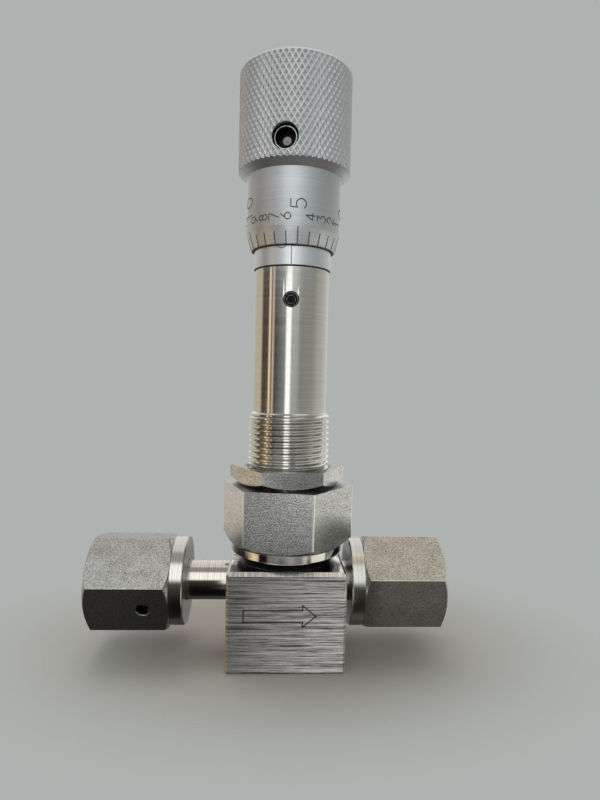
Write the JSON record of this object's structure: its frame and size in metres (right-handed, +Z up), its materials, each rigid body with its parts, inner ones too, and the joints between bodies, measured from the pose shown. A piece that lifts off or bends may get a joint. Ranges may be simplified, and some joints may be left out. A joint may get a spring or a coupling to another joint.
{
  "type": "bellows-sealed metering valve",
  "caption": "Inline needle metering valve with a block body, face-seal end nuts, panel nut on a tall bonnet, and a knurled vernier handle that lifts a bellows-sealed stem.",
  "frame": {"origin": "centre of the body's bottom face", "axes": "+Z up the stem axis, flow from the inlet on -X to the outlet on +X, -Y the front"},
  "size_m": [0.077, 0.0276, 0.1273],
  "materials": {
    "ground_steel": "ground flat with fine horizontal lines",
    "turned_steel": "fine turned",
    "polished_steel": "polished turned steel",
    "nut_steel": "machined and lightly polished",
    "blasted_steel": "matt blasted flats with turned collars",
    "bellows_steel": "bright formed sheet",
    "satin_aluminium": "satin",
    "bronze": "bearing bronze",
    "black_oxide": "black oxide",
    "plated_gasket": "silver plated"
  },
  "bodies": {
    "root": {"valve_body": "ground_steel", "inlet_gland": "turned_steel", "outlet_gland": "turned_steel", "body_gasket": "plated_gasket", "weld_ring": "turned_steel", "bellows": "bellows_steel", "bonnet": "polished_steel", "bonnet_nut": "nut_steel", "stem_guide": "bronze", "index_sleeve": "satin_aluminium", "spindle_nut": "bronze", "sleeve_screw": "black_oxide"},
    "stem": {"needle_tip": "turned_steel", "stem": "turned_steel", "bellows_cap": "turned_steel", "anti_rotation_pin": "turned_steel", "coupling_cup": "turned_steel", "thrust_ball": "turned_steel", "thrust_ring": "bronze"},
    "handle": {"spindle": "turned_steel", "vernier_handle": "satin_aluminium", "handle_screw": "black_oxide"},
    "inlet_nut": {"inlet_nut": "blasted_steel"},
    "outlet_nut": {"outlet_nut": "blasted_steel"},
    "panel_nut": {"panel_nut": "nut_steel"}
  },
  "joints": [
    {"name": "stem_lift", "type": "slide", "parent": "root", "child": "stem", "axis": [0, 0, 1], "range_m": [-0.00014, 0.00621], "deforming": ["bellows"]},
    {"name": "handle_turn", "type": "hinge", "parent": "stem", "child": "handle", "pos_m": [0, 0, 0.1], "axis": [0, 0, 1], "range_deg": [-79.25, 3520.85]},
    {"name": "inlet_nut_slide", "type": "slide", "parent": "root", "child": "inlet_nut", "axis": [1, 0, 0], "range_m": [0, 0.00895]},
    {"name": "outlet_nut_slide", "type": "slide", "parent": "root", "child": "outlet_nut", "axis": [1, 0, 0], "range_m": [-0.00109, 0.00786]},
    {"name": "panel_nut_climb", "type": "slide", "parent": "root", "child": "panel_nut", "axis": [0, 0, 1], "range_m": [-0.0004, 0.0105]}
  ],
  "couplings": [
    {"joint": "handle_turn", "follows": "stem_lift", "rad_per_m": 9894.8}
  ]
}
